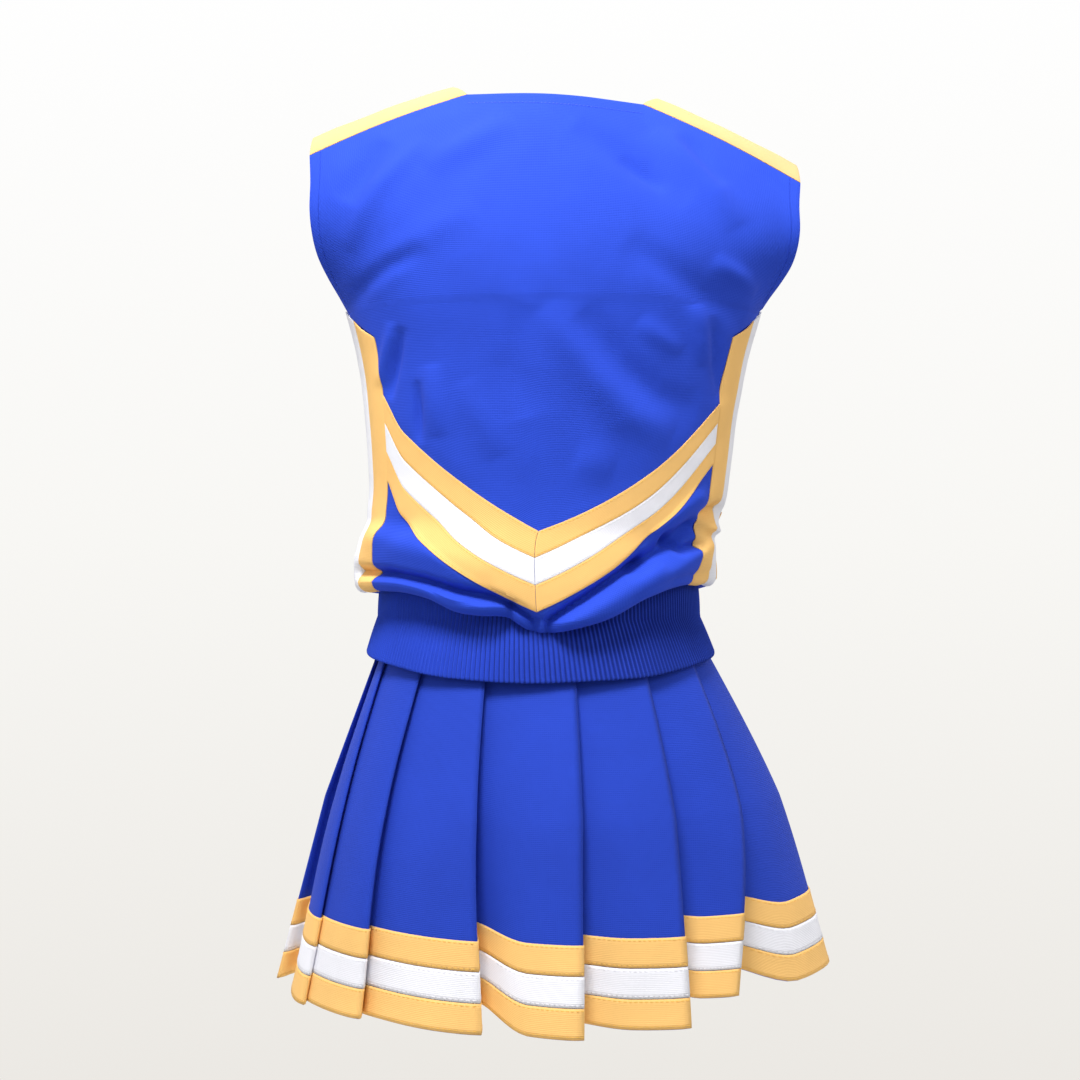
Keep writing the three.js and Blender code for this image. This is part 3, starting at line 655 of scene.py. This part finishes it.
def rib_point(around, part):
    """part runs from 0 at the top of the outer face round the lower edge to 1 at the top inside."""
    bearing = around * 360
    signed = bearing if bearing <= 180 else bearing - 360
    top, bottom = curve(roll_bottoms, signed) + ROLL + 3, rib_bottom(bearing)
    wave = cos(around * RIBS * 2 * pi)
    sag = noise.noise(Vector((cos(radians(bearing)) * 3, sin(radians(bearing)) * 3, 9.0)))
    if part <= RIB_FOLD:
        t = part / RIB_FOLD
        z = mix(top, bottom + 2.2, t)
        thick = 1.6 * sin(pi * t) + 1.2 * sag * sin(pi * t) + wave * mix(0.7, 1.4, t)
    elif part <= RIB_INNER:
        t = (part - RIB_FOLD) / (RIB_INNER - RIB_FOLD)
        z = bottom + 2.2 - 2.2 * sin(pi * t)
        thick = -1.6 * (1 - cos(pi * t)) + 1.4 * wave * (1 - t)
    else:
        t = (part - RIB_INNER) / (1 - RIB_INNER)
        z = mix(bottom + 2.2, top, t)
        thick = mix(-3.2, -2.2, t)
    flare = max(-z, 0) * 0.43
    angle = radians(bearing)
    return Vector((
        (133.6 + flare + thick) * sin(angle) + curve(shifts, min(z, 0) * 0.6 - 12),
        -(96.2 + flare + thick) * cos(angle), z,
    ))


def build_rib(made):
    profile = [mix(0, RIB_FOLD, k / 21) for k in range(22)]
    profile += [mix(RIB_FOLD, RIB_INNER, k / 5) for k in range(1, 6)]
    profile += [mix(RIB_INNER, 1, k / 5) for k in range(1, 6)]
    steps = RIBS * PER_RIB
    start = [made.verts.new(rib_point(0, part) * 0.001) for part in profile]
    edges = [made.edges.new(pair) for pair in zip(start, start[1:] + start[:1])]
    bmesh.ops.spin(
        made, geom=start + edges, cent=(0, 0, 0), axis=(0, 0, 1), angle=2 * pi, steps=steps, use_merge=True,
    )
    made.verts.ensure_lookup_table()
    layer = made.loops.layers.uv.verify()
    spots = {}
    ordered = list(made.verts)
    for index, vert in enumerate(ordered):
        ring_index, place_in = divmod(index, len(profile))
        vert.co = rib_point(ring_index / steps, profile[place_in]) * 0.001
        spots[vert] = (ring_index / steps * RIB_GIRTH, profile[place_in] * 0.09)
    for face in made.faces:
        for loop in face.loops:
            loop[layer].uv = spots[loop.vert]
    bmesh.ops.recalc_face_normals(made, faces=made.faces)


rib_waistband = mesh_object("rib_waistband", build_rib, rib_knit)
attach(rib_waistband, "shell")
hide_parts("rib_waistband")


# ---- Facings and label ----
# Blue facings finish the neckline and the armholes inside, and a plain label sits in the
# back neck.
FACING_LIFT = -2.6


def facing(name, columns, rows, place, size, material, slot_name):
    piece = cloth(name, columns, rows, place, size, material, 0.8, 0.2)
    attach(piece, "shell")
    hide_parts(name)
    return piece


def neck_facing_point(is_front, across, up):
    side = (1 - 2 * across if is_front else 2 * across - 1) * NECK_SHARE
    return yoke(is_front, side, mix(0.865, 0.998, up), FACING_LIFT)


def armhole_point(hand, across, up):
    side = mix(0.892, 0.997, across) if hand > 0 else -mix(0.997, 0.892, across)
    if up <= 0.42:
        return yoke(False, side, up / 0.42, FACING_LIFT)
    if up >= 0.58:
        return yoke(True, side, (1 - up) / 0.42, FACING_LIFT)
    inner = (abs(side) - NECK_SHARE) / (1 - NECK_SHARE)
    return strip_point(hand, inner if hand > 0 else 1 - inner, (up - 0.42) / 0.16, FACING_LIFT)


facings = [
    facing("back_neck_facing", 40, 10, lambda a, u: neck_facing_point(False, a, u), (150, 22),
           lining_knit, "lining_knit"),
    facing("front_neck_facing", 40, 10, lambda a, u: neck_facing_point(True, a, u), (210, 22),
           lining_knit, "lining_knit"),
]
for hand_name, hand in (("left", -1), ("right", 1)):
    facings.append(facing(
        f"armhole_facing_{hand_name}", 6, 120, lambda a, u, h=hand: armhole_point(h, a, u), (22, 470),
        lining_knit, "lining_knit"))

label_satin, _, satin = surface_material("label satin", linear("#e9e9ee"), 0.35)
satin.inputs["Sheen Weight"].default_value = 0.3
neck_label = facing(
    "neck_label", 16, 8,
    lambda a, u: yoke(False, mix(-0.16, 0.16, a), mix(0.655, 0.862, u), FACING_LIFT),
    (66, 34), label_satin, "label_satin",
)


# ---- Pleated skirt ----
# One length of blue knit is laid in fifteen knife pleats under the waistband. Each face runs
# out from under the fold before it to its own fold, and the pleats open towards the hem.
SKIRT_DROP, BAND_DROP, HIP_DROP, ZIP_BEARING = 303.0, 30.0, 150.0, -101.0
WAIST_PLEAT_DEPTH, HEM_PLEAT_DEPTH, PLEAT_LAP, HEM_BAND = 4, 15, 3.5, 22
skirt_widths = [(0, 126.0), (HIP_DROP, 193.05), (SKIRT_DROP, 236.65)]
skirt_depths = [(0, 88.6), (HIP_DROP, 154.6), (SKIRT_DROP, 195.9)]


def straight(pairs, at):
    k = 0
    while k < len(pairs) - 2 and at > pairs[k + 1][0]:
        k += 1
    (x0, y0), (x1, y1) = pairs[k], pairs[k + 1]
    return mix(y0, y1, min(max((at - x0) / (x1 - x0), 0.0), 1.0))


waist_shifts = [(-303, 7), (-150, 3), (0, -9), (80, 0), (372, 4)]


def skirt_point(bearing, drop, inset=0.0, soft=True):
    angle = radians(bearing)
    width, depth = straight(skirt_widths, drop), straight(skirt_depths, drop)
    if soft:
        width = mix(width, curve(skirt_widths, drop), 0.8)
        depth = mix(depth, curve(skirt_depths, drop), 0.8)
    across = (width - inset) * sin(angle)
    return Vector((across + straight(waist_shifts, -drop), -(depth - inset) * cos(angle), -drop))


# Each pleat: its fold's bearing at the waist, half way and at the hem, its depth at the hem,
# how far its fold stands in there, and how far the hem is lifted at the fold and at its start.
pleats = [
    ((-84, -84, -84), 15, 0, 0, 0), ((-68, -62, -59), 20, 0, 0, 4), ((-42, -43.5, -41), 7, 0, 2, 2),
    ((-18.4, -18, -14.6), 15, 0, 2, 2), ((11.5, 6.3, 4), 30, 0, 0, 17), ((36.5, 29, 24.4), 24, 0, 4, 8),
    ((62, 52, 38), 33, 9, 19, 26), ((86, 88, 87), 40, 4, 14, 40), ((104, 106, 104), 24, 0, 3, 8),
    ((122, 122, 122), 20, 0, 2, 3), ((146, 146, 146), 22, 0, 0, 4), ((170, 170, 170), 20, 0, 0, 2),
    ((196, 196, 196), 22, 0, 0, 3), ((222, 222, 222), 20, 0, 0, 2), ((248, 248, 248), 20, 0, 0, 0),
]
FACE_STEPS, FOLD_STEPS, RETURN_STEPS = 15, 5, 5
PER_PLEAT = FACE_STEPS + FOLD_STEPS + RETURN_STEPS


def pleat_state(k, drop):
    """Bearing of the fold, depth, inset at the fold, and the two lifts of the hem."""
    pleat = pleats[k % len(pleats)]
    turn = 360 * (k // len(pleats))
    waist, middle, hem = pleat[0]
    down = drop / SKIRT_DROP
    bearing = curve([(0, waist), (0.5, middle), (1, hem)], down) + turn
    depth = mix(WAIST_PLEAT_DEPTH, pleat[1], down if k % len(pleats) == 0 else down ** 1.15)
    grown = ease(0.15, 1.0, down)
    return bearing, depth, pleat[2] * grown, pleat[3] * down ** 2, pleat[4] * down ** 2


def pleat_path(k, step, drop):
    """Bearing, inset and lift of one column of pleat k at one height."""
    fold, depth, stand, lift_fold, lift_start = pleat_state(k, drop)
    before = pleat_state(k - 1, drop)[0]
    tuck = before - PLEAT_LAP
    after = pleat_state(k + 1, drop)
    zipped = k % len(pleats) == 0
    if step <= FACE_STEPS:
        share = step / FACE_STEPS
        if zipped:
            inset = depth * (1 - share)
        else:
            inset = stand + (depth - stand) * (1 - share) ** 1.25
            inset += 1.5 * ease(0.9, 1.0, share) * (drop / SKIRT_DROP)
        swing = 1 - ease(0.0, 0.55, share)
        return mix(tuck, fold, share), inset, mix(lift_fold, lift_start, swing)
    share = (step - FACE_STEPS) / (FOLD_STEPS + RETURN_STEPS)
    turned = share ** 0.8
    next_tuck = fold - PLEAT_LAP
    bulge = 1.2 * sin(pi * min(share * 2.5, 1)) * 360 / (2 * pi * 160)
    bearing = mix(fold, next_tuck, turned) + bulge
    end_inset = 1.5 * (drop / SKIRT_DROP) + stand if not zipped else 0.0
    inset = mix(end_inset, after[1], share) + 1.0 * sin(pi * share)
    return bearing, inset, mix(lift_fold, after[4], share)


def soft_fall(bearing, drop):
    down = drop / SKIRT_DROP
    wave = noise.noise(Vector((cos(radians(bearing)) * 3.2, sin(radians(bearing)) * 3.2, drop * 0.006)))
    return 2.6 * wave * down


zip_pleat_tuck = pleats[-1][0][0] - 360 - PLEAT_LAP
zip_pleat_span = pleats[0][0][0] - zip_pleat_tuck
zip_pleat_share = (ZIP_BEARING - zip_pleat_tuck) / zip_pleat_span
start_column = FACE_STEPS * zip_pleat_share


def ring_column(position):
    """The pleat and the step of a column, counted from the zip right round to it again."""
    at = start_column + position
    k = int(at // PER_PLEAT)
    return k, at - k * PER_PLEAT


ring_positions = [0.0]
first = int(start_column) + 1
ring_positions += [c - start_column for c in range(first, first + len(pleats) * PER_PLEAT)
                   if c - start_column < len(pleats) * PER_PLEAT]
ring_positions.append(float(len(pleats) * PER_PLEAT))


def skirt_at(position, drop, out=0.0):
    k, step = ring_column(position)
    bearing, inset, lift = pleat_path(k, step, drop)
    calm = 0.0 if (k % len(pleats) == 0) else 1.0
    near = min(position, len(pleats) * PER_PLEAT - position)
    calm *= ease(0, 25, near)
    inset += soft_fall(bearing, drop) * calm
    return skirt_point(bearing, drop - lift, inset - out, calm > 0.5)


def skirt_normal(position, drop):
    limit = float(len(pleats) * PER_PLEAT)
    before, after = max(position - 0.4, 0.0), min(position + 0.4, limit)
    along = skirt_at(after, drop) - skirt_at(before, drop)
    up = skirt_at(position, drop - 3) - skirt_at(position, drop + 3)
    return along.cross(up).normalized()


lengths = [0.0]
for one, two in zip(ring_positions, ring_positions[1:]):
    lengths.append(lengths[-1] + (skirt_at(two, 240) - skirt_at(one, 240)).length)


def skirt_sheet(name, top_drop, bottom_drop, rows, lift, material, slot_name, thickness, nodes):
    def place(across, up):
        position = ring_positions[round(across * (len(ring_positions) - 1))]
        drop = mix(bottom_drop, top_drop, up)
        point = skirt_at(position, drop)
        if lift:
            point += skirt_normal(position, drop) * lift
        return point

    def build(made):
        columns = len(ring_positions) - 1
        uv_place = lambda across, up: (
            lengths[round(across * columns)] * 0.001, mix(bottom_drop, top_drop, up) * -0.001)
        grid(made, columns, rows, place, uv_place)
    piece = mesh_object(name, build, material)
    thicken(piece, thickness, -1.0 if not lift else 1.0, 0.0)
    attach(piece, "skirt")
    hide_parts(*nodes)
    return piece


pleat_nodes = ["pleat_01_front", "pleat_01_back"] + [f"pleat_{k:02d}" for k in range(2, 16)]
pleated_cloth = skirt_sheet(
    "pleated_cloth", BAND_DROP + 0.4, SKIRT_DROP, 84, 0, pleat_knit, "pleat_knit", 1.0, pleat_nodes)


# ---- Hem stripes ----
# Three bands of braid, golden, white and golden, are sewn flat round the hem and follow it
# into every pleat.
for level, order, material, slot_name in (
    ("lower", 0, yellow_knit, "yellow_knit"), ("middle", 1, white_knit, "white_knit"),
    ("upper", 2, yellow_knit, "yellow_knit"),
):
    low = SKIRT_DROP - HEM_BAND * order - 0.2
    skirt_sheet(
        f"hem_stripe_{level}", low - HEM_BAND + 0.4, low, 6, 0.25, material, slot_name, 0.7,
        [f"hem_stripe_{level}"])


# ---- Skirt waistband ----
# A firm band closes the top of the skirt, lined inside and open at the side fastening.
def waistband(name, inset, drop, rise, material, thickness):
    def place(across, up):
        bearing = mix(ZIP_BEARING + 0.3, ZIP_BEARING + 359.7, across)
        return skirt_point(bearing, mix(drop, -rise, up), inset, False)
    piece = cloth(name, 160, 8, place, (690, drop + rise), material, thickness, 0.3)
    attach(piece, "skirt")
    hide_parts(name)
    return piece


skirt_waistband = waistband("skirt_waistband", 0.0, 30, 8, blue_knit, 2.2)
waistband_lining = waistband("waistband_lining", 2.8, 28, 6, lining_knit, 0.8)


# ---- Zip ----
# A short zip closes the wearer's left side: woven tapes, nylon teeth and nickel slider, pull
# and stops, with a hook and bar on the waistband above it.
def zip_frame():
    def at(bearing, drop):
        share = zip_pleat_share + (bearing - ZIP_BEARING) / zip_pleat_span
        depth = mix(WAIST_PLEAT_DEPTH, HEM_PLEAT_DEPTH, drop / SKIRT_DROP)
        return skirt_point(bearing, drop, depth * (1 - share), False)
    origin = at(ZIP_BEARING, BAND_DROP)
    up = (at(ZIP_BEARING, BAND_DROP - 1) - origin).normalized()
    out = (at(ZIP_BEARING + 0.1, BAND_DROP) - origin).cross(up).normalized()
    along = up.cross(out)
    return origin, along, up, out


zip_origin, zip_along, zip_up, zip_out = zip_frame()


def zip_place(x, y, z):
    return zip_origin + zip_along * x + zip_up * y + zip_out * z


tape_weave, tape_tree, tape_shader = surface_material("zip tape", linear("#2b49c6"), 0.85)
tape_uv = node(tape_tree, "ShaderNodeTexCoord").outputs["UV"]
twill = node(
    tape_tree, "ShaderNodeTexWave",
    {"wave_type": "BANDS", "bands_direction": "DIAGONAL", "Scale": 300.0}, {"Vector": tape_uv},
)
tape_bump = node(tape_tree, "ShaderNodeBump", {"Strength": 0.5, "Distance": 0.0001},
                 {"Height": twill.outputs["Fac"]})
tape_tree.links.new(tape_bump.outputs["Normal"], tape_shader.inputs["Normal"])
nylon = surface_material("nylon teeth", linear("#3050cc"), 0.35)[0]
nickel = surface_material("nickel", linear("#c9ccd2"), 0.28, Metallic=1.0)[0]
nickel_tree = nickel.node_tree
wear = node(nickel_tree, "ShaderNodeTexNoise", {"Scale": 900.0, "Detail": 4.0},
            {"Vector": node(nickel_tree, "ShaderNodeTexCoord").outputs["Object"]})
rough = node(nickel_tree, "ShaderNodeMapRange", {"To Min": 0.2, "To Max": 0.42},
             {"Value": wear.outputs["Fac"]})
nickel_tree.links.new(rough.outputs["Result"], nickel_tree.nodes["Principled BSDF"].inputs["Roughness"])

for hand_name, hand in (("left", -1), ("right", 1)):
    edges = sorted((hand * 2.05, hand * 12.05))

    def tape_point(across, up, edges=edges):
        return zip_place(mix(edges[0], edges[1], across), mix(-118, -2.1, up), 1.15)
    tape = cloth(f"zip_tape_{hand_name}", 8, 60, tape_point, (10, 116), tape_weave, 0.6, 0.15)
    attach(tape, "skirt")
    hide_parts(f"zip_tape_{hand_name}")


def tooth_row(hand):
    def build(made):
        count = 64
        low, high = -114.7, -5.4
        pitch = (high - low) / count
        for k in range(count):
            turned = bmesh.ops.create_cube(made, size=1)["verts"]
            shape = Matrix.Diagonal(Vector((1.5, pitch * 0.62, 1.3, 1)))
            for vert in turned:
                x, y, z = shape @ vert.co
                x *= 1 - 0.25 * (z > 0)
                spot = zip_place(hand * 0.95 + x, low + (k + 0.5 + 0.25 * (hand > 0)) * pitch + y, 1.35 + z)
                vert.co = spot * 0.001
        bmesh.ops.bevel(
            made, geom=list(made.edges), offset=0.00016, affect="EDGES", segments=2, profile=0.5,
            material=-1,
        )
    return build


for hand_name, hand in (("left", -1), ("right", 1)):
    teeth = mesh_object(f"zip_coil_{hand_name}", tooth_row(hand), nylon)
    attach(teeth, "skirt")
    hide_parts(f"zip_coil_{hand_name}")

for name in (
    "zip_top_stop_left", "zip_top_stop_right", "zip_bottom_stop", "zip_slider", "zip_pull", "waist_hook",
    "waist_bar",
):
    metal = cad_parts[name]
    metal.data.materials.clear()
    metal.data.materials.append(nickel)


# ---- Stitching ----
# Rows of lockstitch hold the braid, close the hems and finish the neck and the armholes.
def stitch_row(made, point_at, normal_at, count, width=0.32):
    """count stitches along point_at(0..1), each a low rounded bar lying on the cloth."""
    for k in range(count):
        low, high = (k + 0.14) / count, (k + 0.86) / count
        start, end = point_at(low), point_at(high)
        direction = (end - start).normalized()
        out = normal_at((low + high) / 2)
        side = direction.cross(out).normalized() * width
        middle = (start + end) / 2 + out * 0.3
        shoulder, raised = side * 0.7, out * 0.05
        ring = [
            start - out * 0.15, start + shoulder + raised, middle + side, end + shoulder + raised,
            end - out * 0.15, end - shoulder + raised, middle - side, start - shoulder + raised,
        ]
        verts = [made.verts.new(p * 0.001) for p in ring]
        crest = made.verts.new((middle + out * 0.12) * 0.001)
        for one, two in zip(verts, verts[1:] + verts[:1]):
            made.faces.new((one, two, crest))


def thread_piece(name, build, material, body):
    def whole(made):
        build(made)
        bmesh.ops.recalc_face_normals(made, faces=made.faces)
    piece = mesh_object(name, whole, material)
    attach(piece, body)
    return piece


def chevron_stitches(made, is_front, levels):
    edge = 89.0 if is_front else 60.0
    for hand in (-1, 1):
        for level in levels:
            def point_at(t, hand=hand, level=level):
                away = mix(0.6, edge, t)
                bearing = hand * (180 - away) if is_front else hand * away
                return torso(bearing, chevron_height(is_front, bearing, level), 0.98)

            def normal_at(t, hand=hand):
                away = radians(mix(0.6, edge, t))
                facing = 1 if is_front else -1
                return Vector((hand * sin(away), facing * cos(away), 0)).normalized()
            stitch_row(made, point_at, normal_at, 58 if not is_front else 78)


def yellow_chevron_stitches(made):
    for is_front in (False, True):
        chevron_stitches(made, is_front, (0.09, 0.91, 2.09, 2.91))


def white_chevron_stitches(made):
    for is_front in (False, True):
        chevron_stitches(made, is_front, (1.09, 1.91))


thread_piece("chevron_stitching_golden", yellow_chevron_stitches, yellow_thread, "shell")
thread_piece("chevron_stitching_white", white_chevron_stitches, white_thread, "shell")


def hem_stitch_builder(levels):
    def build(made):
        total = float(len(pleats) * PER_PLEAT)
        for level in levels:
            drop = SKIRT_DROP - level

            def point_at(t):
                return skirt_at(t * total, drop) + skirt_normal(t * total, drop) * 0.98

            def normal_at(t):
                return skirt_normal(t * total, drop)
            stitch_row(made, point_at, normal_at, 620)
    return build


thread_piece(
    "hem_stitching_golden", hem_stitch_builder((2.4, 20.0, 46.0, 64.0)), yellow_thread, "skirt")
thread_piece("hem_stitching_white", hem_stitch_builder((24.0, 42.0)), white_thread, "skirt")


def blue_stitches(made):
    for is_front in (False, True):
        for hand in (-1, 1):
            def edge_point(t, is_front=is_front, hand=hand):
                return yoke(is_front, hand * 0.955, mix(0.02, 0.99, t), 0.05)

            def edge_normal(t, is_front=is_front, hand=hand):
                angle = radians(EDGE_BEARING * 0.9)
                return Vector((hand * sin(angle), (1 if is_front else -1) * cos(angle), 0)).normalized()
            stitch_row(made, edge_point, edge_normal, 52, 0.28)

        def neck_point(t, is_front=is_front):
            side = mix(-NECK_SHARE * 0.98, NECK_SHARE * 0.98, t)
            return yoke(is_front, side, 0.945, 0.05)

        def neck_normal(t, is_front=is_front):
            return Vector((0, 0.8 if is_front else -0.8, 0.6))
        stitch_row(made, neck_point, neck_normal, 46 if not is_front else 66, 0.28)


thread_piece("edge_stitching", blue_stitches, blue_thread, "shell")
